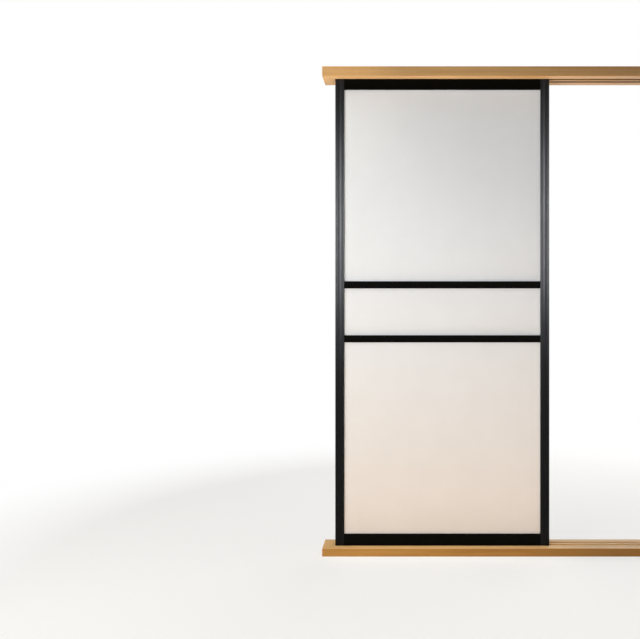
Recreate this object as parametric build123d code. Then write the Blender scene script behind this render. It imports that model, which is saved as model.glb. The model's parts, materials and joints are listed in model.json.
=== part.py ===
from build123d import *
import os

# Timber frame. All sizes are in millimetres.
# X runs along the opening, -Y is the side the doors are seen from, +Z is up.
# The origin is the bottom centre of the frame.
opening_height = 1900  # sill top to head underside
sill_thickness = 33
head_thickness = 40
jamb_thickness = 36
corner_reach = 48  # plain timber past the blind ends of the grooves, at the open corner
lip_width = 38
groove_width = 21
ridge_width = 12
sill_groove_depth = 3
head_groove_depth = 15
arris = 1.5

# Door leaf
door_width = 872
stile_width = 36
stile_thickness = 19
rail_thickness = 14
meeting_overlap = 36  # how far the closed doors pass each other
bottom_rail_face = 47  # height that shows above the sill
top_rail_face = 43  # height that shows below the head
mid_rail_height = 29
mid_rail_pitch = 220
mid_rail_rise = 2  # the middle of the pair above the middle of the opening
wall = 1.3

# Rounded ribs of the stile, with the finger channel between them
outer_rib = 9
inner_rib = 16.5
channel_depth = 3.5  # below the crests of the ribs
channel_round = 2
edge_round = 0.8

# Glazing
panel_thickness = 3
panel_hold = 7  # how far a panel's edge reaches into its slot
pocket_depth = 9
gasket_lip = 1.5

# Running fit of a door in the grooves
head_engagement = 10
floor_clearance = 1
guide_clearance = 0.6
guide_height = 6
cap_height = 1.5
plug_length = 8
plug_clearance = 0.1
plug_gap = 1.5  # between a plug's end and the nearest access hole
end_clearance = 1

# Wheels
wheel_radius = 12
wheel_width = 6
wheel_recess = 1
wheel_rim = 2.5
hub_radius = 4
axle_radius = 2
axle_clearance = 0.05
wheel_clearance = 0.2
wheel_gap = 2  # round the wheel, in its housing
wheel_side_gap = 0.25
housing_length = 80
housing_height = 28
housing_clearance = 0.1
housing_rise = 1  # housing underside above the rail's underside
housing_round = 6

# Screws
screw_radius = 2
screw_head_radius = 3.8
screw_head_height = 2.4
screw_bite = 16
screw_clearance = 0.2
port_wall = 1.1
access_radius = 4.5
jamb_screw_radius = 2.5
jamb_screw_head = 5
jamb_screw_cone = 3
jamb_screw_bite = 50
jamb_screw_pitch = 80

# What follows from the sizes above
timber_depth = 2 * lip_width + 2 * groove_width + ridge_width
opening_width = 2 * door_width - meeting_overlap
frame_length = corner_reach + opening_width + jamb_thickness
opening_left = corner_reach - frame_length / 2
jamb_face = opening_left + opening_width
head_underside = sill_thickness + opening_height
groove_offset = (ridge_width + groove_width) / 2
groove_floor = sill_thickness - sill_groove_depth

door_bottom = groove_floor + floor_clearance
door_top = head_underside + head_engagement
stile_bottom = door_bottom + cap_height
stile_top = door_top - guide_height
door_left = opening_left + end_clearance
mid_level = sill_thickness + opening_height / 2 + mid_rail_rise

pocket_width = rail_thickness - 2 * wall
mouth_width = panel_thickness + 2 * gasket_lip
pocket_floor = stile_width - pocket_depth
guide_thickness = groove_width - 2 * guide_clearance

housing_width = pocket_width - 2 * housing_clearance
axle_level = groove_floor + wheel_clearance + wheel_radius
housing_bottom = door_bottom + housing_rise
wheel_inset = stile_width + housing_length / 2
height_screw_level = stile_bottom + plug_length + plug_gap + access_radius

# Levels in a rail, from its underside: heights, inner faces of webs, and screw ports
slot_web = pocket_depth + wall
bottom_rail_height = sill_thickness + bottom_rail_face - door_bottom
top_rail_height = top_rail_face + head_engagement
under_web_port = bottom_rail_height - slot_web - screw_radius
over_web_port = slot_web + screw_radius
top_port = top_rail_height - guide_height - plug_length - plug_gap - access_radius

# Each rail by name, from the bottom: its underside, its height and its screw ports
rails = {
    "bottom_rail": (door_bottom, bottom_rail_height, [under_web_port]),
    "lower_mid_rail": (
        mid_level - (mid_rail_pitch + mid_rail_height) / 2, mid_rail_height, [over_web_port]
    ),
    "upper_mid_rail": (
        mid_level + (mid_rail_pitch - mid_rail_height) / 2, mid_rail_height, [over_web_port]
    ),
    "top_rail": (head_underside - top_rail_face, top_rail_height, [over_web_port, top_port]),
}


def block(x_range, y_range, z_range):
    """A squared timber or sheet between pairs of limits."""
    sizes = [high - low for low, high in (x_range, y_range, z_range)]
    middle = [(high + low) / 2 for low, high in (x_range, y_range, z_range)]
    return Pos(*middle) * Box(*sizes)


def ease_arrises(timber, axis):
    """Planes the long edges of a timber that are not in a groove."""
    outside = timber.edges().filter_by(axis).filter_by(
        lambda edge: abs(abs(edge.center().Y) - timber_depth / 2) < arris
    )
    return chamfer(outside, arris)


def grooves(z_range):
    """The front and the rear groove, blind at both ends of the opening."""
    cutters = []
    for middle in (-groove_offset, groove_offset):
        y_range = (middle - groove_width / 2, middle + groove_width / 2)
        cutters.append(block((opening_left, jamb_face), y_range, z_range))
    return cutters


def countersunk_screw():
    """Timber screw through the head or sill into the jamb, its flat head at z = 0."""
    length = head_thickness + jamb_screw_bite
    outline = Polyline(
        (0, 0),
        (jamb_screw_head, 0),
        (jamb_screw_radius, -jamb_screw_cone),
        (jamb_screw_radius, -length),
        (0, -length),
        close=True,
    )
    return revolve(Plane.XZ * make_face(outline), Axis.Z)


def jamb_screws():
    """Two screws down through the head and two up through the sill."""
    middle = jamb_face + jamb_thickness / 2
    head_top = head_underside + head_thickness
    screws = []
    for y in (-jamb_screw_pitch / 2, jamb_screw_pitch / 2):
        screws.append(Pos(middle, y, head_top) * countersunk_screw())
        screws.append(Pos(middle, y, 0) * Rot(180, 0, 0) * countersunk_screw())
    return screws


def timber_frame():
    """Head, sill and jamb, with the screws that hold them together."""
    length = (-frame_length / 2, frame_length / 2)
    depth = (-timber_depth / 2, timber_depth / 2)
    head = block(length, depth, (head_underside, head_underside + head_thickness))
    sill = block(length, depth, (0, sill_thickness))
    jamb = block((jamb_face, length[1]), depth, (sill_thickness, head_underside))
    screws = jamb_screws()
    head = ease_arrises(head, Axis.X)
    head -= grooves((head_underside, head_underside + head_groove_depth))
    sill = ease_arrises(sill, Axis.X)
    sill -= grooves((groove_floor, sill_thickness))
    return {
        "head": head - screws,
        "sill": sill - screws,
        "jamb": ease_arrises(jamb, Axis.Z) - screws,
        "jamb_screws": Part() + screws,
    }


def rib(middle, width, inset):
    """Disc whose crest is one rib of the stile and whose ends drop to the rails' faces."""
    drop = (stile_thickness - rail_thickness) / 2
    radius = ((width / 2) ** 2 + drop**2) / (2 * drop)
    return Pos(middle, stile_thickness / 2 - radius) * Circle(radius - inset)


def stile_form(inset):
    """Section of a stile between x = 0 and its inner edge, taken in by the same inset all round.

    Both faces are the same: two rounded ribs with a finger channel between them.
    """
    floor = stile_thickness / 2 - channel_depth - inset
    ribs = rib(outer_rib / 2, outer_rib, inset) + rib(stile_width - inner_rib / 2, inner_rib, inset)
    core = Pos(stile_width / 2, 0) * Rectangle(stile_width, 2 * floor)
    one_face = Pos(stile_width / 2, stile_thickness / 4) * Rectangle(
        stile_width - 2 * inset, stile_thickness / 2
    )
    half = (core + ribs) & one_face
    form = half + mirror(half, Plane.XZ)
    valleys = form.vertices().filter_by(
        lambda v: inset + edge_round < v.X < stile_width - inset - edge_round
    )
    return fillet(valleys, channel_round + inset)


def stile_outline():
    """Outer form of a stile, with its outer edge eased."""
    outline = stile_form(0)
    return fillet(outline.vertices().group_by(Axis.X)[0], edge_round)


def stile_hollow(clearance):
    """Hollow of a stile, one wall inside its form and short of the glazing slot's web."""
    inset = wall + clearance
    short_of_web = Rectangle(
        pocket_floor - inset, stile_thickness, align=(Align.MIN, Align.CENTER)
    )
    return stile_form(inset) & short_of_web


def glazing_slot():
    """T-shaped slot for a panel's edge and gasket: mouth at y = 0, floor at -pocket_depth."""
    mouth = Pos(0, -wall / 2) * Rectangle(mouth_width, wall)
    pocket_height = pocket_depth - wall
    pocket = Pos(0, -wall - pocket_height / 2) * Rectangle(pocket_width, pocket_height)
    return mouth + pocket


def screw_levels():
    """Height of each rail screw: one for every screw port of every rail."""
    return [underside + port for underside, height, ports in rails.values() for port in ports]


def along_x(radius, x_start, x_end, z):
    """A round bar along X, for holes, caps and shanks."""
    bar = Cylinder(radius, x_end - x_start, align=(Align.CENTER, Align.CENTER, Align.MIN))
    return Pos(x_start, 0, z) * Rot(0, 90, 0) * bar


def left_stile():
    """Hollow extrusion, drilled for the rail screws and the height screw."""
    slot = Pos(stile_width, 0) * Rot(0, 0, -90) * glazing_slot()
    section = stile_outline() - stile_hollow(0) - slot
    stile = Pos(0, 0, stile_bottom) * extrude(section, stile_top - stile_bottom)
    for z in screw_levels() + [height_screw_level]:
        stile -= along_x(access_radius, 0, wall, z)
        stile -= along_x(screw_radius + screw_clearance, pocket_floor - wall, pocket_floor, z)
    return stile


def left_end_block(height):
    """Nylon block on the end of a stile: it rubs in the groove, and its plug fills the hollow.

    The block stands on z = 0 and the plug hangs below it.
    """
    block_outline = Pos(stile_width / 2, 0) * RectangleRounded(
        stile_width, guide_thickness, channel_round
    )
    return extrude(block_outline, height) + extrude(stile_hollow(plug_clearance), -plug_length)


def hollow_bar(height, low, high, ports):
    """Section of a rail: two side walls, hollow from low to high, with rings for its screws."""
    section = Pos(0, height / 2) * Rectangle(rail_thickness, height)
    section -= Pos(0, (low + high) / 2) * Rectangle(pocket_width, high - low)
    for level in ports:
        section += Pos(0, level) * Circle(screw_radius + port_wall)
        section -= Pos(0, level) * Circle(screw_radius)
    return section


def bottom_rail_section(height, ports):
    """Glazing slot above, and a channel below that is open for the wheels."""
    return hollow_bar(height, 0, height - slot_web, ports) - Pos(0, height) * glazing_slot()


def mid_rail_section(height, ports):
    """Closed chamber between two glazing slots."""
    section = hollow_bar(height, slot_web, height - slot_web, ports)
    return section - Pos(0, height) * glazing_slot() - mirror(glazing_slot(), Plane.XZ)


def top_rail_section(height, ports):
    """Glazing slot below, closed chamber, and a channel above that is open in the head."""
    web = Pos(0, max(ports) + screw_radius + wall / 2) * Rectangle(pocket_width, wall)
    return hollow_bar(height, slot_web, height, ports) + web - mirror(glazing_slot(), Plane.XZ)


def rail(name):
    """Extrusion between the stiles."""
    sections = {"bottom_rail": bottom_rail_section, "top_rail": top_rail_section}
    underside, height, ports = rails[name]
    section = sections.get(name, mid_rail_section)(height, ports)
    length = door_width - 2 * stile_width
    return extrude(Plane.YZ.offset(stile_width) * Pos(0, underside) * section, length)


def bays():
    """The three openings for panels, as the top of one rail and the underside of the next."""
    undersides = [underside for underside, height, ports in rails.values()]
    tops = [underside + height for underside, height, ports in rails.values()]
    return dict(zip(("bottom", "middle", "top"), zip(tops[:-1], undersides[1:])))


def bay_sheet(bay, reach, rise, thickness):
    """A sheet over a bay that goes past its sides by reach, and past its top and foot by rise."""
    low, high = bay
    return block(
        (stile_width - reach, door_width - stile_width + reach),
        (-thickness / 2, thickness / 2),
        (low - rise, high + rise),
    )


def panel(bay):
    """Opal sheet, held in the slots on all four sides."""
    return bay_sheet(bay, panel_hold, panel_hold, panel_thickness)


def gasket(bay):
    """Rubber bedding all round a panel: it fills the mouths and the pockets of the slots."""
    ring = bay_sheet(bay, pocket_depth, pocket_depth, mouth_width)
    ring -= bay_sheet(bay, 0, 0, mouth_width)
    in_stiles = bay_sheet(bay, pocket_depth, pocket_depth, pocket_width)
    in_stiles -= bay_sheet(bay, wall, pocket_depth, pocket_width)
    in_rails = bay_sheet(bay, 0, pocket_depth, pocket_width)
    in_rails -= bay_sheet(bay, 0, wall, pocket_width)
    return ring + in_stiles + in_rails - panel(bay)


def end_screw(x_start, z):
    """Pan-head screw along X: its head bears on the inner wall of the stile's hollow."""
    grip = stile_width - x_start
    head = along_x(screw_head_radius, x_start - screw_head_height, x_start, z)
    rim = head.edges().group_by(Axis.X)[0]
    shank = along_x(screw_radius, x_start, x_start + grip + screw_bite, z)
    return chamfer(rim, screw_head_height / 3) + shank


def left_rail_screws():
    """The screws from the left stile into the ports of the rails."""
    return [end_screw(pocket_floor - wall, z) for z in screw_levels()]


def left_hole_caps():
    """Flush discs that close the access holes in the stile's outer edge."""
    return [along_x(access_radius, 0, wall, z) for z in screw_levels() + [height_screw_level]]


def wheel():
    """Nylon wheel about the Y axis: rim, thinner web and a hub with the running bore."""
    bore = axle_radius + axle_clearance
    half = wheel_width / 2
    web = half - wheel_recess
    outline = Polyline(
        (bore, half),
        (hub_radius, half),
        (hub_radius, web),
        (wheel_radius - wheel_rim, web),
        (wheel_radius - wheel_rim, half),
        (wheel_radius, half),
        (wheel_radius, 0),
        (bore, 0),
        close=True,
    )
    quarter = make_face(outline)
    tread = quarter.vertices().sort_by(lambda v: v.X + v.Y)[-1]
    quarter = chamfer(tread, wheel_recess / 2)
    return revolve(quarter + mirror(quarter, Plane.XZ), Axis.Y)


def across_y(radius, width):
    """A round bar along Y, centred on the axle line."""
    return Rot(90, 0, 0) * Cylinder(radius, width)


def left_wheel_housing():
    """Moulded housing round a wheel, with the axle at the origin and the stile to its left."""
    underside = housing_bottom - axle_level
    profile = Pos(0, underside + housing_height / 2) * Rectangle(housing_length, housing_height)
    profile = fillet(profile.vertices().group_by(Axis.Y)[-1], housing_round)
    body = extrude(Plane.XZ * profile, housing_width / 2, both=True)
    slot_width = wheel_width + 2 * wheel_side_gap
    slot_radius = wheel_radius + wheel_gap
    slot = across_y(slot_radius, slot_width)
    slot += Pos(0, 0, -slot_radius / 2) * Box(2 * slot_radius, slot_width, slot_radius)
    end = -housing_length / 2
    screw_hole = along_x(screw_radius, end, end + screw_bite, height_screw_level - axle_level)
    return body - slot - across_y(axle_radius, housing_width) - screw_hole


def at_axle(piece):
    """Puts a piece made about its axle at the left wheel's place in the door."""
    return Pos(wheel_inset, 0, axle_level) * piece


def right_hand(piece):
    """The mirror image of a left-hand piece, at the door's right side."""
    return Pos(door_width, 0, 0) * mirror(piece, Plane.YZ)


def door():
    """Every piece of one door, from its left edge at x = 0 and its mid-plane at y = 0."""
    low_end = Pos(0, 0, stile_bottom) * Rot(180, 0, 0)
    left_pieces = {
        "stile": left_stile(),
        "top_guide": Pos(0, 0, stile_top) * left_end_block(guide_height),
        "bottom_cap": low_end * left_end_block(cap_height),
        "wheel_housing": at_axle(left_wheel_housing()),
        "axle": at_axle(across_y(axle_radius, housing_width)),
        "wheel": at_axle(wheel()),
    }
    pieces = {name: rail(name) for name in rails}
    for name, piece in left_pieces.items():
        pieces["left_" + name] = piece
        pieces["right_" + name] = right_hand(piece)
    for name, bay in bays().items():
        pieces[name + "_panel"] = panel(bay)
        pieces[name + "_gasket"] = gasket(bay)
    both_sides = {
        "rail_screws": left_rail_screws(),
        "height_screws": [end_screw(pocket_floor - wall, height_screw_level)],
        "hole_caps": left_hole_caps(),
    }
    for name, group in both_sides.items():
        pieces[name] = Part() + group + [right_hand(piece) for piece in group]
    return pieces


def main():
    """Writes the frame and the two doors, both slid to the left."""
    parts = timber_frame()
    for side, y in (("front", -groove_offset), ("rear", groove_offset)):
        for name, piece in door().items():
            parts[side + "_" + name] = Pos(door_left, y, 0) * piece
    os.makedirs("parts", exist_ok=True)
    for name, piece in parts.items():
        export_step(piece, f"parts/{name}.step")


main()
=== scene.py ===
import json
import math

import bmesh
import bpy
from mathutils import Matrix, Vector


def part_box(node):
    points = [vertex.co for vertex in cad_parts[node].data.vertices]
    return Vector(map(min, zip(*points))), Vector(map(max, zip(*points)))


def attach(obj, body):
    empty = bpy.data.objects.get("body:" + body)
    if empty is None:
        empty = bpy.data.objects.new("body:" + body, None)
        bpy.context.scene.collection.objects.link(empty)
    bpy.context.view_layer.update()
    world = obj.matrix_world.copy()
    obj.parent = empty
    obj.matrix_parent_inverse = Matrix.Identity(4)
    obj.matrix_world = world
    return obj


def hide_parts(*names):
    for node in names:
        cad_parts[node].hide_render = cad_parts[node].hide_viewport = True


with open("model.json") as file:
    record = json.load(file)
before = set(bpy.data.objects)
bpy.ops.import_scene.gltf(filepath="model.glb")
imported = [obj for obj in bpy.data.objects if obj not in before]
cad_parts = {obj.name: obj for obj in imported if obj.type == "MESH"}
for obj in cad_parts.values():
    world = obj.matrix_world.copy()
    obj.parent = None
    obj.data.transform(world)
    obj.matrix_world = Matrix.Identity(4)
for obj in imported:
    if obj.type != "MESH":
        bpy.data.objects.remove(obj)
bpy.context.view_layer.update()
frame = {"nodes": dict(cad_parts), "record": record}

MM = 0.001

# The photograph's frame, and where its vanishing point, the front door and the sill lie in it, in pixels
IMAGE_WIDTH, IMAGE_HEIGHT = 640, 639
VANISHING_X, VANISHING_Y = 407, 314
DOOR_LEFT_PX, DOOR_RIGHT_PX = 335.2, 549.4
SILL_TOP_PX = 545.65
CAMERA_DISTANCE = 3.25  # metres in front of the front door's stiles
SENSOR_WIDTH = 36  # mm


def linear(hex_colour, alpha=1.0):
    """An sRGB hex colour as the linear colour that the shaders take."""
    channels = [int(hex_colour[i:i + 2], 16) / 255 for i in (1, 3, 5)]
    return [c / 12.92 if c <= 0.04045 else ((c + 0.055) / 1.055) ** 2.4 for c in channels] + [alpha]


def add(tree, kind, inputs=None, stops=(), **settings):
    """One node with its settings; each input is a value, a socket that feeds it or a list of sockets.

    The stops of a colour ramp are (position, hex colour) pairs.
    """
    node = tree.nodes.new(kind)
    for name, value in settings.items():
        setattr(node, name, value)
    for name, value in (inputs or {}).items():
        sources = value if isinstance(value, list) else [value]
        if isinstance(sources[0], bpy.types.NodeSocket):
            for source in sources:
                tree.links.new(source, node.inputs[name])
        else:
            node.inputs[name].default_value = value
    if stops:
        elements = node.color_ramp.elements
        while len(elements) < len(stops):
            elements.new(0.5)
        for element, (position, hex_colour) in zip(elements, stops):
            element.position = position
            element.color = linear(hex_colour)
    return node


def surface(name, **values):
    """A material with its shader's fixed values set, as (material, tree, shader)."""
    material = bpy.data.materials.new(name)
    material.use_nodes = True
    tree = material.node_tree
    shader = tree.nodes["Principled BSDF"]
    for socket, value in values.items():
        shader.inputs[socket.replace("_", " ").title().replace("Ior", "IOR")].default_value = value
    return material, tree, shader


# Timber


PAINTED_LIGHT_END_X = 0.35  # painted shade: past this x the wood's colour is fully darkened, with no painted light from the open corner
PAINTED_SHADE_TINT = "#d3c597"  # painted shade: the tint that darkens the wood away from the open corner, for less light falling there
WAVE_LENGTH = math.pi / 10  # length of one wave of the wave texture at scale 1
GROOVE_MIDDLE = 16.5 * MM  # the two grooves' middles lie this far before and behind the timbers' own
GROOVE_HALF_WIDTH = 10.5 * MM
GROOVE_END = 870 * MM  # just past the grooves' blind ends, and short of the timbers' own ends
HEAD_GROOVE_DEPTH, SILL_GROOVE_DEPTH = 15 * MM, 3 * MM
EDGE = 0.2 * MM  # how far a painted patch of light or shade reaches past its own faces, and stays short of those beside it


def share_in_box(tree, place, centre, half_size, share):
    """A share inside a box and its mirror images left and right, front and rear; nothing outside."""
    mirrored = add(tree, "ShaderNodeVectorMath", {0: place}, operation="ABSOLUTE").outputs["Vector"]
    distances = add(tree, "ShaderNodeSeparateXYZ", {"Vector": mirrored}).outputs
    for axis, middle, reach in zip("XYZ", centre, half_size):
        inside = add(tree, "ShaderNodeMath", {
            0: distances[axis], 1: middle, 2: reach,
        }, operation="COMPARE").outputs["Value"]
        share = add(tree, "ShaderNodeMath", {0: inside, 1: share}, operation="MULTIPLY").outputs["Value"]
    return share


def planed_softwood(name, length_axis, pith, early, late, painted_light_to=-0.35, painted_patch=None):
    """Pale straight-grained softwood, planed and left bare.

    Growth rings are cylinders about the pith, a line along the timber that lies outside it,
    so long faces show lines and ends show arcs. The planed fibres scatter light softly, with a
    silk sheen that pales the faces seen at a low angle, and the late wood of each ring is
    darker, harder and a little smoother.
    Its colour is painted lighter towards the open corner, fully up to painted_light_to, and darker away
    from it: painted light and shade for how the light falls.
    painted_patch gives a second colour painted over the wood as light or shade, its share, and the
    middle and half size of the box it shows in.
    """
    ring_spacing = 3.2 * MM
    ring_wander = 9 * MM  # how far a ring strays from its circle
    wander_length = 143 * MM  # and over what length it does
    fibre_width = 0.5 * MM  # real fibres are finer: these are drawn as coarse as they need to show
    band_height = 14 * MM  # of the broad bands of paler and darker wood
    stretch = 0.03  # how much slower the wood changes along its length than across it
    material, tree, shader = surface(
        name, roughness=0.6, specular_ior_level=0.25,
        sheen_weight=1.0, sheen_roughness=0.3, sheen_tint=linear("#fff2e0"),
    )
    place = add(tree, "ShaderNodeTexCoord").outputs["Object"]
    turn = (0, 0, 0) if length_axis == "X" else (0, math.pi / 2, 0)
    along = add(tree, "ShaderNodeMapping", {"Vector": place, "Rotation": turn}).outputs["Vector"]
    from_pith = add(tree, "ShaderNodeMapping", {
        "Vector": along, "Location": [-c for c in pith], "Scale": (stretch, 1, 1),
    }).outputs["Vector"]
    wander = add(tree, "ShaderNodeTexNoise", {
        "Vector": from_pith, "Scale": 1 / wander_length, "Detail": 3, "Roughness": 0.45,
    }).outputs["Color"]
    centred = add(tree, "ShaderNodeVectorMath", {0: wander, 1: (0.5, 0.5, 0.5)},
                  operation="SUBTRACT").outputs["Vector"]
    shift = add(tree, "ShaderNodeVectorMath", {0: centred, "Scale": 2 * ring_wander},
                operation="SCALE").outputs["Vector"]
    wandering = add(tree, "ShaderNodeVectorMath", {0: from_pith, 1: shift}).outputs["Vector"]
    rings = add(tree, "ShaderNodeTexWave", {
        "Vector": wandering, "Scale": WAVE_LENGTH / ring_spacing, "Distortion": 0.6,
        "Detail": 1, "Detail Scale": 2,
    }, wave_type="RINGS", rings_direction="X", wave_profile="SAW").outputs["Fac"]
    bands = add(tree, "ShaderNodeTexNoise", {
        "Vector": from_pith, "Scale": 1 / band_height, "Detail": 2, "Roughness": 0.6,
    }).outputs["Fac"]
    fibres = add(tree, "ShaderNodeTexNoise", {
        "Vector": from_pith, "Scale": 1 / fibre_width, "Detail": 3, "Roughness": 0.7,
    }).outputs["Fac"]
    ring_colour = add(tree, "ShaderNodeValToRGB", {"Fac": rings},
                      stops=[(0, early), (0.55, early), (0.9, late), (1, early)])
    band_colour = add(tree, "ShaderNodeValToRGB", {"Fac": bands}, stops=[(0.3, early), (0.7, late)])
    fibre_tone = add(tree, "ShaderNodeValToRGB", {"Fac": fibres},
                     stops=[(0.3, "#cfcac4"), (0.65, "#ffffff")])
    colour = add(tree, "ShaderNodeMix", {
        "Factor": 0.5, "A": ring_colour.outputs["Color"], "B": band_colour.outputs["Color"],
    }, data_type="RGBA")
    colour = add(tree, "ShaderNodeMix", {
        "Factor": 0.5, "A": colour.outputs["Result"], "B": fibre_tone.outputs["Color"],
    }, data_type="RGBA", blend_type="MULTIPLY")
    # Painted light and shade: the colour is lighter towards the open corner and darker away from it, for
    # how the light falls along the timber
    across_opening = add(tree, "ShaderNodeSeparateXYZ", {"Vector": place}).outputs["X"]
    painted_shade_share = add(tree, "ShaderNodeMapRange", {
        "Value": across_opening, "From Min": painted_light_to, "From Max": PAINTED_LIGHT_END_X,
    }).outputs["Result"]
    painted_shade_colour = add(tree, "ShaderNodeValToRGB", {"Fac": painted_shade_share},
                    stops=[(0, "#ffffff"), (1, PAINTED_SHADE_TINT)])
    colour = add(tree, "ShaderNodeMix", {
        "Factor": 1.0, "A": colour.outputs["Result"], "B": painted_shade_colour.outputs["Color"],
    }, data_type="RGBA", blend_type="MULTIPLY")
    # Painted light or shade: a second colour in a box over the wood's own colour
    if painted_patch:
        painted_patch_colour, share, centre, half_size = painted_patch
        colour = add(tree, "ShaderNodeMix", {
            "Factor": share_in_box(tree, place, centre, half_size, share),
            "A": colour.outputs["Result"], "B": linear(painted_patch_colour),
        }, data_type="RGBA")
    tree.links.new(colour.outputs["Result"], shader.inputs["Base Color"])
    gloss = add(tree, "ShaderNodeMapRange", {"Value": fibres, "To Min": 0.52, "To Max": 0.68})
    tree.links.new(gloss.outputs["Result"], shader.inputs["Roughness"])
    relief = add(tree, "ShaderNodeMath", {0: rings, 1: fibres}, operation="ADD")
    bump = add(tree, "ShaderNodeBump", {
        "Height": relief.outputs["Value"], "Distance": 0.05 * MM, "Strength": 0.6,
    })
    tree.links.new(bump.outputs["Normal"], shader.inputs["Normal"])
    return material


# Door


def black_anodised_aluminium(name, length_axis, dark, light):
    """Extruded aluminium, etched and anodised black.

    The die leaves fine lines along each bar. They spread a highlight across the bar and keep it
    short along it, so upright bars catch the light of a window and level bars stay dark.
    """
    die_line = 0.4 * MM  # real die lines are finer: these are drawn as coarse as they need to show
    stretch = 0.01  # how much slower the lines change along a bar than across it
    cloud_size = 83 * MM  # patches where the etch came out a little rougher or smoother
    material, tree, shader = surface(name, metallic=1.0, anisotropic=0.9, anisotropic_rotation=0.25)
    place = add(tree, "ShaderNodeTexCoord").outputs["Object"]
    squeeze = [stretch if axis == length_axis else 1 for axis in "XYZ"]
    lines = add(tree, "ShaderNodeMapping", {"Vector": place, "Scale": squeeze}).outputs["Vector"]
    streaks = add(tree, "ShaderNodeTexNoise", {
        "Vector": lines, "Scale": 1 / die_line, "Detail": 4, "Roughness": 0.6,
    }).outputs["Fac"]
    clouds = add(tree, "ShaderNodeTexNoise", {
        "Vector": place, "Scale": 1 / cloud_size, "Detail": 2,
    }).outputs["Fac"]
    tint = add(tree, "ShaderNodeValToRGB", {"Fac": streaks}, stops=[(0.3, dark), (0.7, light)])
    tree.links.new(tint.outputs["Color"], shader.inputs["Base Color"])
    both = add(tree, "ShaderNodeMath", {0: streaks, 1: clouds}, operation="ADD").outputs["Value"]
    roughness = add(tree, "ShaderNodeMapRange", {
        "Value": both, "From Min": 0.6, "From Max": 1.4, "To Min": 0.40, "To Max": 0.52,
    })
    tree.links.new(roughness.outputs["Result"], shader.inputs["Roughness"])
    bump = add(tree, "ShaderNodeBump", {"Height": streaks, "Distance": 0.01 * MM, "Strength": 0.5})
    tree.links.new(bump.outputs["Normal"], shader.inputs["Normal"])
    direction = {letter: float(letter == length_axis) for letter in "XYZ"}
    tangent = add(tree, "ShaderNodeCombineXYZ", direction)
    tree.links.new(tangent.outputs["Vector"], shader.inputs["Tangent"])
    return material


def opal_sheet(name):
    """Matt opal acrylic: milky all through, so it shows one soft even white.

    Its etched face breaks up any gloss.
    """
    etched_grain = 0.6 * MM  # the real etch is finer: this is as coarse as it needs to show
    cloud_size = 111 * MM  # faint patches in the white
    material, tree, shader = surface(name, roughness=0.8, specular_ior_level=0.15)
    place = add(tree, "ShaderNodeTexCoord").outputs["Object"]
    clouds = add(tree, "ShaderNodeTexNoise", {
        "Vector": place, "Scale": 1 / cloud_size, "Detail": 3,
    }).outputs["Fac"]
    grain = add(tree, "ShaderNodeTexNoise", {
        "Vector": place, "Scale": 1 / etched_grain, "Detail": 2,
    }).outputs["Fac"]
    white = add(tree, "ShaderNodeValToRGB", {"Fac": clouds}, stops=[(0.3, "#f0f0ee"), (0.7, "#f2f2f0")])
    tree.links.new(white.outputs["Color"], shader.inputs["Base Color"])
    gloss = add(tree, "ShaderNodeMapRange", {"Value": grain, "To Min": 0.75, "To Max": 0.9})
    tree.links.new(gloss.outputs["Result"], shader.inputs["Roughness"])
    bump = add(tree, "ShaderNodeBump", {"Height": grain, "Distance": 0.01 * MM, "Strength": 0.4})
    tree.links.new(bump.outputs["Normal"], shader.inputs["Normal"])
    return material


def moulded(name, dark, light, roughness, gloss, grain_size):
    """Moulded nylon or rubber: one colour with the fine spark-eroded grain of its mould.

    The grain is drawn a little coarser than the real one, so that it shows. A gloss of 0.5 is
    that of a plain plastic, and less is duller.
    """
    material, tree, shader = surface(name, roughness=roughness, specular_ior_level=gloss)
    place = add(tree, "ShaderNodeTexCoord").outputs["Object"]
    grain = add(tree, "ShaderNodeTexNoise", {
        "Vector": place, "Scale": 1 / grain_size, "Detail": 2,
    }).outputs["Fac"]
    tint = add(tree, "ShaderNodeValToRGB", {"Fac": grain}, stops=[(0.3, dark), (0.7, light)])
    tree.links.new(tint.outputs["Color"], shader.inputs["Base Color"])
    bump = add(tree, "ShaderNodeBump", {"Height": grain, "Distance": 0.02 * MM, "Strength": 0.5})
    tree.links.new(bump.outputs["Normal"], shader.inputs["Normal"])
    return material


def zinc_plated_steel(name):
    """Bright zinc on steel: cool grey, with soft cloudy crystals in the plating."""
    crystal_size = 1.1 * MM
    material, tree, shader = surface(name, metallic=1.0)
    place = add(tree, "ShaderNodeTexCoord").outputs["Object"]
    clouds = add(tree, "ShaderNodeTexNoise", {
        "Vector": place, "Scale": 1 / crystal_size, "Detail": 3,
    }).outputs["Fac"]
    grey = add(tree, "ShaderNodeValToRGB", {"Fac": clouds}, stops=[(0.3, "#a3a6a8"), (0.7, "#c3c6c9")])
    tree.links.new(grey.outputs["Color"], shader.inputs["Base Color"])
    gloss = add(tree, "ShaderNodeMapRange", {"Value": clouds, "To Min": 0.25, "To Max": 0.42})
    tree.links.new(gloss.outputs["Result"], shader.inputs["Roughness"])
    return material


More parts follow.
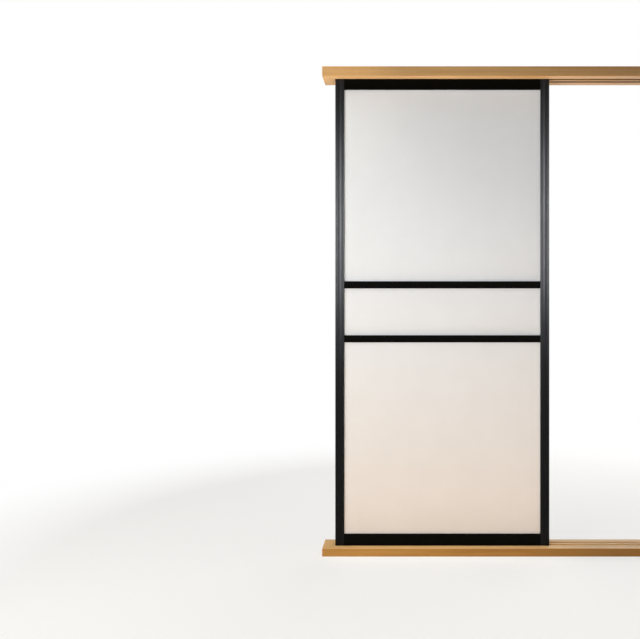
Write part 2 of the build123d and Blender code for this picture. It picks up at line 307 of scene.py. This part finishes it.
def dress_nodes():
    """Gives every CAD node its material."""
    finishes = {
        "gasket": moulded("epdm_rubber", "#171717", "#202020", 0.75, 0.1, 0.3 * MM),
        "black_nylon": moulded("black_nylon", "#171717", "#1f1f20", 0.6, 0.1, 0.2 * MM),
        "white_nylon": moulded("white_nylon", "#dcdad2", "#e6e4dd", 0.42, 0.5, 0.3 * MM),
        "steel": zinc_plated_steel("zinc_plated_steel"),
        "opal_panel": opal_sheet("opal_sheet"),
    }
    # Painted shade: the rails' tint is set darker than the stiles', for the dark that their flat faces
    # mirror
    level_bar_painted_shade = black_anodised_aluminium("anodised_rail", "X", "#141413", "#191918")
    upright_bar = black_anodised_aluminium("anodised_stile", "Z", "#202021", "#272728")
    head_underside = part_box("head")[0].z
    sill_end, sill_back, sill_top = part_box("sill")[1]
    # Painted shade in the head's grooves, darker where less light reaches into them
    painted_groove_shade = (
        "#4a3010", 0.5,
        (0, GROOVE_MIDDLE, head_underside + HEAD_GROOVE_DEPTH / 2 + EDGE),
        (GROOVE_END, GROOVE_HALF_WIDTH + EDGE, HEAD_GROOVE_DEPTH / 2),
    )
    # Painted light on the sill's top and grooves, paler where the light from above falls, but not on its
    # faces and ends
    painted_light_top = (
        "#f0ca88", 0.55,
        (0, 0, sill_top),
        (sill_end - EDGE, sill_back - EDGE, SILL_GROOVE_DEPTH + EDGE),
    )
    early, late = "#e4b675", "#cc9451"
    timbers = {
        "head": planed_softwood("softwood_head", "X", (0.3, -0.12, 2.10), early, late,
                                painted_patch=painted_groove_shade),
        "sill": planed_softwood("softwood_sill", "X", (0.1, -0.09, -0.16), "#e0a956", "#c2802e",
                                painted_light_to=-0.75, painted_patch=painted_light_top),
        "jamb": planed_softwood("softwood_jamb", "Z", (0.0, -0.2, 0.98), early, late),
    }
    for subpart in frame["record"]["subparts"]:
        node, slot = subpart["node"], subpart["material_slot"]
        if slot == "timber":
            material = timbers[node]
        elif slot == "anodised_frame":
            material = upright_bar if node.endswith("stile") else level_bar_painted_shade
        else:
            material = finishes[slot]
        for material_slot in frame["nodes"][node].material_slots:
            material_slot.material = material


# Screws


# Shares of a thread's outer radius
THREAD_CORE = 0.76
TIP_LENGTH = 2.0

# The cutter of the cross recess: two crossed wings, each a cone of four sides pressed flat
RECESS_FOOT = 0.45  # radius at the foot as a share of that at the top
RECESS_RISE = 1.1  # the cutter's height as a share of the recess depth, so that it stands proud
WING_WIDTH = 0.28  # thickness of a wing as a share of its span

TIP_RADIUS = 0.1 * MM
HEAD_SIDES, SHANK_SIDES, WING_SIDES = 32, 16, 4
STEPS_PER_TURN = 18


def screw_tree(material):
    """One threaded screw with a cross recess on every point, its head towards the point's direction."""
    tree = bpy.data.node_groups.new("threaded_screw", "GeometryNodeTree")
    tree.interface.new_socket("Geometry", in_out="OUTPUT", socket_type="NodeSocketGeometry")
    tree.interface.new_socket("Points", in_out="INPUT", socket_type="NodeSocketGeometry")
    for name in ("Length", "Radius", "Rim Radius", "Neck Radius", "Crown Radius", "Crown Height",
                 "Head Height", "Thread Length", "Pitch", "Recess Span", "Recess Depth"):
        tree.interface.new_socket(name, in_out="INPUT", socket_type="NodeSocketFloat")
    size = dict(tree.nodes.new("NodeGroupInput").outputs.items())
    # Worked out from those inputs and from each other
    for name, first, operation, second in (
        ("Core", "Radius", "MULTIPLY", THREAD_CORE),
        ("Tip Length", "Radius", "MULTIPLY", TIP_LENGTH),
        ("Tip Foot", "Length", "MULTIPLY", -1.0),
        ("Tip Top", "Tip Length", "SUBTRACT", "Length"),
        ("Crown Foot", "Crown Height", "MULTIPLY", -1.0),
        ("Head Foot", "Head Height", "MULTIPLY", -1.0),
        ("Body Height", "Head Height", "SUBTRACT", "Crown Height"),
        ("Below Head", "Length", "SUBTRACT", "Head Height"),
        ("Shank Length", "Below Head", "SUBTRACT", "Tip Length"),
        ("Wing Foot Radius", "Recess Span", "MULTIPLY", RECESS_FOOT),
        ("Wing Height", "Recess Depth", "MULTIPLY", RECESS_RISE),
        ("Wing Foot", "Recess Depth", "MULTIPLY", -1.0),
        ("Thread Rise", "Thread Length", "SUBTRACT", "Tip Length"),
        ("Turns", "Thread Rise", "DIVIDE", "Pitch"),
        ("Ridge Height", "Radius", "SUBTRACT", "Core"),
    ):
        size[name] = add(tree, "ShaderNodeMath", {
            0: size[first], 1: size.get(second, second),
        }, operation=operation).outputs["Value"]

    def tapered(top, foot, height, sides, lower_end, turn=0.0, squeeze=1.0):
        """A tapered length of the screw, standing on its lower end; squeezed, it is a flat wing."""
        form = add(tree, "GeometryNodeMeshCone", {
            "Vertices": sides, "Radius Top": size[top], "Radius Bottom": size.get(foot, foot),
            "Depth": size[height],
        }).outputs["Mesh"]
        place = add(tree, "ShaderNodeCombineXYZ", {"Z": size[lower_end]}).outputs["Vector"]
        return add(tree, "GeometryNodeTransform", {
            "Geometry": form, "Translation": place, "Rotation": (0, 0, turn), "Scale": (1, squeeze, 1),
        }).outputs["Geometry"]

    crown = tapered("Crown Radius", "Rim Radius", "Crown Height", HEAD_SIDES, "Crown Foot")
    body = tapered("Rim Radius", "Neck Radius", "Body Height", HEAD_SIDES, "Head Foot")
    shank = tapered("Core", "Core", "Shank Length", SHANK_SIDES, "Tip Top")
    tip = tapered("Core", TIP_RADIUS, "Tip Length", SHANK_SIDES, "Tip Foot")
    wings = [
        tapered("Recess Span", "Wing Foot Radius", "Wing Height", WING_SIDES, "Wing Foot",
                turn, WING_WIDTH)
        for turn in (0.0, math.pi / 2)
    ]
    cut = [add(tree, "GeometryNodeMeshBoolean", {"Mesh 1": piece, "Mesh 2": wings},
               operation="DIFFERENCE", solver="MANIFOLD").outputs["Mesh"] for piece in (crown, body)]

    helix = add(tree, "GeometryNodeCurveSpiral", {
        "Resolution": STEPS_PER_TURN, "Rotations": size["Turns"],
        "Start Radius": size["Core"], "End Radius": size["Core"], "Height": size["Thread Rise"],
    }).outputs["Curve"]
    # A square on its corner: its outer half is the thread's ridge, its inner half lies in the core
    ridge = add(tree, "GeometryNodeCurvePrimitiveCircle", {
        "Resolution": 4, "Radius": size["Ridge Height"],
    }).outputs["Curve"]
    swept = add(tree, "GeometryNodeCurveToMesh", {
        "Curve": helix, "Profile Curve": ridge, "Fill Caps": True,
    }).outputs["Mesh"]
    above_tip = add(tree, "ShaderNodeCombineXYZ", {"Z": size["Tip Top"]}).outputs["Vector"]
    thread = add(tree, "GeometryNodeTransform", {
        "Geometry": swept, "Translation": above_tip,
    }).outputs["Geometry"]
    screw = add(tree, "GeometryNodeJoinGeometry", {
        "Geometry": cut + [shank, tip, thread],
    }).outputs["Geometry"]

    direction = add(tree, "GeometryNodeInputNamedAttribute", {"Name": "head_direction"},
                    data_type="FLOAT_VECTOR").outputs["Attribute"]
    rotation = add(tree, "FunctionNodeAlignRotationToVector", {"Vector": direction},
                   axis="Z").outputs["Rotation"]
    placed = add(tree, "GeometryNodeInstanceOnPoints", {
        "Points": size["Points"], "Instance": screw, "Rotation": rotation,
    }).outputs["Instances"]
    real = add(tree, "GeometryNodeRealizeInstances", {"Geometry": placed}).outputs["Geometry"]
    dressed = add(tree, "GeometryNodeSetMaterial", {
        "Geometry": real, "Material": material,
    }).outputs["Geometry"]
    add(tree, "NodeGroupOutput", {"Geometry": dressed})
    return tree


def loose_boxes(node):
    """Lowest and highest corner of each separate solid in a CAD node, in the order of their places."""
    shape = bmesh.new()
    shape.from_mesh(frame["nodes"][node].data)
    bmesh.ops.remove_doubles(shape, verts=shape.verts, dist=0.001 * MM)
    left = set(shape.verts)
    boxes = []
    while left:
        solid, border = set(), {next(iter(left))}
        while border:
            solid |= border
            border = {edge.other_vert(v) for v in border for edge in v.link_edges} - solid
        left -= solid
        places = [v.co for v in solid]
        low = Vector([min(place[i] for place in places) for i in range(3)])
        high = Vector([max(place[i] for place in places) for i in range(3)])
        boxes.append((low, high))
    shape.free()
    return sorted(boxes, key=lambda box: tuple(box[0]))


def screws(name, body, nodes, tree, axis, sizes):
    """Every screw of some CAD nodes as one mesh; a head faces away from the middle of the group."""
    boxes = [box for node in nodes for box in loose_boxes(node)]
    middle = sum((low + high for low, high in boxes), Vector()) / len(boxes) / 2
    places, directions = [], []
    for low, high in boxes:
        centre = (low + high) / 2
        outwards = 1.0 if centre[axis] > middle[axis] else -1.0
        direction = Vector([outwards if i == axis else 0.0 for i in range(3)])
        places.append(centre + direction * (high - low)[axis] / 2)
        directions.extend(direction)
    low, high = boxes[0]
    mesh = bpy.data.meshes.new(name)
    mesh.from_pydata(places, [], [])
    attribute = mesh.attributes.new("head_direction", "FLOAT_VECTOR", "POINT")
    attribute.data.foreach_set("vector", directions)
    obj = bpy.data.objects.new(name, mesh)
    bpy.context.scene.collection.objects.link(obj)
    modifier = obj.modifiers.new("screws", "NODES")
    modifier.node_group = tree
    values = dict(sizes)
    values["Length"] = (high - low)[axis]
    values["Rim Radius"] = (high - low)[(axis + 1) % 3] / 2
    for item in tree.interface.items_tree:
        if item.name in values:
            modifier[item.identifier] = values[item.name]
    plain = bpy.data.meshes.new_from_object(obj.evaluated_get(bpy.context.evaluated_depsgraph_get()))
    obj.modifiers.clear()
    obj.data = plain
    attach(obj, body)
    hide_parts(*nodes)


def all_screws():
    """Countersunk timber screws in the frame and pan-head screws in the doors."""
    tree = screw_tree(zinc_plated_steel("zinc_plated_steel_screw"))
    screws("frame_timber_screws", "frame", ["jamb_screws"], tree, 2, {
        "Radius": 2.5 * MM, "Neck Radius": 1.9 * MM,
        "Crown Radius": 4.8 * MM, "Crown Height": 0.2 * MM,
        "Head Height": 3.0 * MM, "Thread Length": 50 * MM, "Pitch": 2.5 * MM,
        "Recess Span": 2.9 * MM, "Recess Depth": 2.4 * MM,
    })
    for side in ("front", "rear"):
        nodes = [side + "_rail_screws", side + "_height_screws"]
        screws(side + "_door_screws", side + "_door", nodes, tree, 0, {
            "Radius": 2.0 * MM, "Neck Radius": 3.8 * MM,
            "Crown Radius": 3.0 * MM, "Crown Height": 0.8 * MM,
            "Head Height": 2.4 * MM, "Thread Length": 20 * MM, "Pitch": 1.4 * MM,
            "Recess Span": 2.2 * MM, "Recess Depth": 1.8 * MM,
        })


# Studio


FILL = 0.08  # how bright the world is for matt surfaces
FILL_COLOUR = "#fff6e6"
FLOOR_WHITENESS = 0.6  # how far the floor round the doors goes to white, for the camera alone
FLOOR_REACH = 30  # metres from the middle to each edge
FADE_START, FADE_END = 0.6, 3.2  # metres from the middle where the floor begins and ends to fade


def where_seen(tree):
    """1 for what the camera sees, directly, in a gloss or through a clear piece, otherwise 0."""
    rays = add(tree, "ShaderNodeLightPath").outputs
    seen = rays["Is Camera Ray"]
    for ray in ("Is Glossy Ray", "Is Transmission Ray"):
        seen = add(tree, "ShaderNodeMath", {0: seen, 1: rays[ray]}, operation="MAXIMUM").outputs["Value"]
    return seen


def floor():
    """A pale floor that fades into the white background away from the doors."""
    mesh = bpy.data.meshes.new("floor")
    sides = ((-1, -1), (1, -1), (1, 1), (-1, 1))
    corners = [(x * FLOOR_REACH, y * FLOOR_REACH, 0) for x, y in sides]
    mesh.from_pydata(corners, [], [(0, 1, 2, 3)])
    obj = bpy.data.objects.new("floor", mesh)
    bpy.context.scene.collection.objects.link(obj)
    material, tree, shader = surface("pale_floor", roughness=0.9, base_color=linear("#f4f4f2"))
    place = add(tree, "ShaderNodeTexCoord").outputs["Object"]
    distance = add(tree, "ShaderNodeVectorMath", {0: place}, operation="LENGTH").outputs["Value"]
    fade = add(tree, "ShaderNodeMapRange", {
        "Value": distance, "From Min": FADE_START, "From Max": FADE_END,
    }, interpolation_type="SMOOTHERSTEP").outputs["Result"]
    far = add(tree, "ShaderNodeMath", {
        0: fade, 1: where_seen(tree),
    }, operation="MULTIPLY").outputs["Value"]
    near = add(tree, "ShaderNodeMath", {
        0: add(tree, "ShaderNodeLightPath").outputs["Is Camera Ray"], 1: FLOOR_WHITENESS,
    }, operation="MULTIPLY").outputs["Value"]
    share = add(tree, "ShaderNodeMath", {0: far, 1: near}, operation="MAXIMUM").outputs["Value"]
    white = add(tree, "ShaderNodeEmission", {"Color": (1, 1, 1, 1), "Strength": 1.0})
    mix = add(tree, "ShaderNodeMixShader", {
        0: share, 1: shader.outputs["BSDF"], 2: white.outputs["Emission"],
    })
    tree.links.new(mix.outputs["Shader"], tree.nodes["Material Output"].inputs["Surface"])
    mesh.materials.append(material)


def white_world():
    """White where it is seen, directly or in a gloss, and a plain level of fill elsewhere."""
    world = bpy.data.worlds.new("studio")
    bpy.context.scene.world = world
    world.use_nodes = True
    tree = world.node_tree
    seen = where_seen(tree)
    strength = add(tree, "ShaderNodeMapRange", {"Value": seen, "To Min": FILL, "To Max": 1.0})
    tree.links.new(strength.outputs["Result"], tree.nodes["Background"].inputs["Strength"])
    tint = add(tree, "ShaderNodeMix", {
        "Factor": seen, "A": linear(FILL_COLOUR), "B": linear("#ffffff"),
    }, data_type="RGBA").outputs["Result"]
    tree.links.new(tint, tree.nodes["Background"].inputs["Color"])


def lamp(name, place, target, width, height, radiance, hex_colour="#ffffff",
         seen_by=("diffuse", "glossy"), spread=180):
    """A soft rectangular lamp at a place, turned to a target; radiance 1 looks white.

    A reflector card for the metal is seen by glosses only, and a floor's bounce by matt faces only.
    """
    data = bpy.data.lights.new(name, "AREA")
    data.shape = "RECTANGLE"
    data.size, data.size_y = width, height
    data.spread = math.radians(spread)
    data.color = linear(hex_colour)[:3]
    data.energy = radiance * math.pi * width * height
    obj = bpy.data.objects.new(name, data)
    obj.location = place
    obj.rotation_euler = (Vector(target) - Vector(place)).to_track_quat("-Z", "Y").to_euler()
    obj.visible_camera = False
    obj.visible_diffuse = "diffuse" in seen_by
    obj.visible_glossy = "glossy" in seen_by
    bpy.context.scene.collection.objects.link(obj)


def black_cloth(name, corners, seen_by):
    """A stretched black cloth, left out of every kind of ray but those it is set up for."""
    mesh = bpy.data.meshes.new(name)
    mesh.from_pydata(corners, [], [(0, 1, 2, 3)])
    obj = bpy.data.objects.new(name, mesh)
    bpy.context.scene.collection.objects.link(obj)
    material = surface("black_cloth", roughness=1.0, base_color=linear("#101010"))[0]
    mesh.materials.append(material)
    for ray in ("camera", "diffuse", "glossy", "transmission", "volume_scatter", "shadow"):
        setattr(obj, "visible_" + ray, ray in seen_by)


def studio():
    """Pale floor, white background and soft lamps."""
    floor()
    white_world()
    lamp("key", (-2.3, -1.9, 1.45), (-0.4, 0, 1.3), 2.0, 1.4, 3.15)
    lamp("window", (-2.0, -2.2, 1.40), (-0.4, 0, 1.25), 2.0, 0.8, 0.58, "#d6e8ff", spread=50)
    lamp("overhead", (-0.2, -0.9, 4.6), (-0.2, -0.89, 0), 4.0, 3.0, 2.8, "#fff4e6")
    # Cards at both sides that glosses alone see: they draw the lines of light on the stiles
    lamp("left_card", (-3.4, -1.2, 1.70), (-0.4, -0.1, 1.6), 2.4, 1.0, 39.0, seen_by=("glossy",))
    lamp("right_card", (2.6, -1.2, 1.70), (-0.4, -0.1, 1.6), 2.4, 1.0, 46.0, seen_by=("glossy",))
    # Light that comes back from the floor, to the head's underside and to the doors' lower part
    lamp("up_light", (-0.8, -0.42, 0.05), (-0.8, -0.41, 3), 2.4, 0.75, 1.12, "#fff6ea",
         seen_by=("diffuse",), spread=40)
    lamp("floor_bounce", (-0.3, -0.5, 0.03), (-0.3, -0.49, 3.0), 3.6, 0.8, 0.47, "#ffae54",
         seen_by=("diffuse",))
    # A narrow beam straight down in front of the doors, to the left part of the sill's top
    lamp("sill_strip", (-0.42, -0.14, 2.05), (-0.42, -0.034, 0.03), 1.0, 0.12, 0.46, "#fff0d8",
         seen_by=("diffuse",), spread=10)
    lamp("rear_key", (1.5, 3.2, 1.8), (0, 0, 1.0), 3.0, 2.4, 3.3)
    # Cloths before and behind that glosses alone see: they keep the level bars black
    for name, y in (("front_cloth", -5.2), ("rear_cloth", 5.2)):
        black_cloth(name, [(-5, y, 0), (5, y, 0), (5, y, 6), (-5, y, 6)], ("glossy",))
    # A narrow flag over the doors shades their upper right from the overhead lamp
    left, right, front, rear, height = -0.65, 1.4, -0.49, -0.07, 2.1
    flag = [(left, front, height), (right, front, height), (right, rear, height), (left, rear, height)]
    black_cloth("flag", flag, ("diffuse", "shadow"))


def camera():
    """Level camera at the photograph's place: its shift puts the vanishing point where it was."""
    door_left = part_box("front_left_stile")[0]
    door_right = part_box("front_right_stile")[1]
    sill_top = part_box("sill")[1]
    metres_per_px = (door_right.x - door_left.x) / (DOOR_RIGHT_PX - DOOR_LEFT_PX)
    x = door_left.x + (VANISHING_X - DOOR_LEFT_PX) * metres_per_px
    z = sill_top.z + (SILL_TOP_PX - VANISHING_Y) * metres_per_px
    data = bpy.data.cameras.new("camera")
    data.sensor_width = SENSOR_WIDTH
    data.lens = CAMERA_DISTANCE / (metres_per_px * IMAGE_WIDTH) * SENSOR_WIDTH
    data.shift_x = (IMAGE_WIDTH / 2 - VANISHING_X) / IMAGE_WIDTH
    data.shift_y = (VANISHING_Y - IMAGE_HEIGHT / 2) / IMAGE_WIDTH
    obj = bpy.data.objects.new("camera", data)
    obj.location = (x, door_left.y - CAMERA_DISTANCE, z)
    obj.rotation_euler = (math.pi / 2, 0, 0)
    bpy.context.scene.collection.objects.link(obj)
    bpy.context.scene.camera = obj


dress_nodes()
all_screws()
studio()
camera()
bpy.context.scene.view_settings.view_transform = "Standard"
